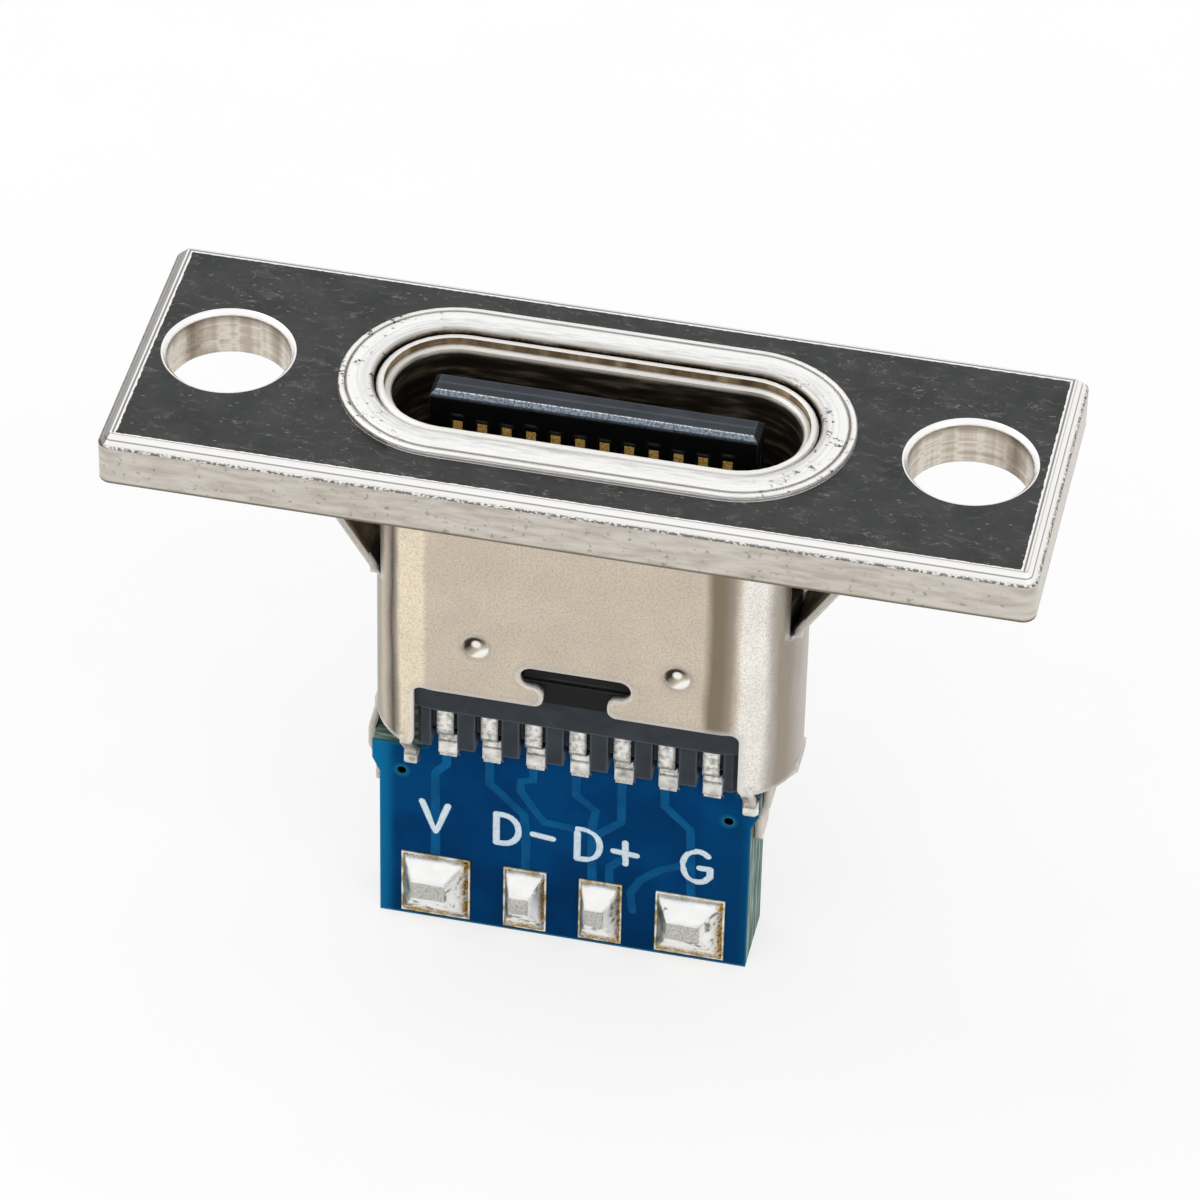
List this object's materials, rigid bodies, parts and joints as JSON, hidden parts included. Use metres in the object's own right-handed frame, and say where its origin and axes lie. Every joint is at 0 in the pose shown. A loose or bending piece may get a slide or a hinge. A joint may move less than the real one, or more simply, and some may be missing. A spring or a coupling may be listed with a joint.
{
  "type": "usb-c socket",
  "caption": "Panel-mount USB-C socket: a flat metal flange with two screw holes carries a drawn socket shell, with a small wire-pad board soldered across the rear.",
  "frame": {"origin": "centre of the mouth opening in the plane of the flange plate's flat front face", "axes": "+Z out of the mouth, +X along the flange plate to the right, -Y towards the side with the wire pads"},
  "size_m": [0.0188, 0.0066, 0.014],
  "materials": {
    "plate_nickel": "satin nickel plating with a glossy front face",
    "shell_nickel": "matte nickel plating",
    "insulator": "fine matte moulding",
    "contact_gold": "gold plated at the tongue, tinned at the tails",
    "strip_steel": "bare rolled strip",
    "solder": "tin solder, bright with a grainy crown",
    "solder_mask": "blue solder mask over glass-fibre board",
    "pad_gold": "thin gold over copper",
    "resistor_body": "ceramic chip with a black glaze"
  },
  "bodies": {
    "root": {"circuit_board": "solder_mask", "contact_back_01": "contact_gold", "contact_back_02": "contact_gold", "contact_back_03": "contact_gold", "contact_back_04": "contact_gold", "contact_back_05": "contact_gold", "contact_back_06": "contact_gold", "contact_back_07": "contact_gold", "contact_back_08": "contact_gold", "contact_back_09": "contact_gold", "contact_back_10": "contact_gold", "contact_back_11": "contact_gold", "contact_back_12": "contact_gold", "contact_front_01": "contact_gold", "contact_front_02": "contact_gold", "contact_front_03": "contact_gold", "contact_front_04": "contact_gold", "contact_front_05": "contact_gold", "contact_front_06": "contact_gold", "contact_front_07": "contact_gold", "contact_front_08": "contact_gold", "contact_front_09": "contact_gold", "contact_front_10": "contact_gold", "contact_front_11": "contact_gold", "contact_front_12": "contact_gold", "flange_plate": "plate_nickel", "ground_solder_back": "solder", "ground_solder_front": "solder", "housing_back": "insulator", "housing_front": "insulator", "inner_shell": "shell_nickel", "mid_plate": "strip_steel", "outer_shell": "shell_nickel", "resistor_left": "resistor_body", "resistor_right": "resistor_body", "resistor_solder": "solder", "shield_pad_back": "strip_steel", "shield_pad_front": "strip_steel", "tail_solder_back": "solder", "tail_solder_front": "solder", "wire_pad_data_minus": "pad_gold", "wire_pad_data_plus": "pad_gold", "wire_pad_ground": "pad_gold", "wire_pad_supply": "pad_gold", "wire_solder_data_minus": "solder", "wire_solder_data_plus": "solder", "wire_solder_ground": "solder", "wire_solder_supply": "solder"}
  },
  "joints": []
}
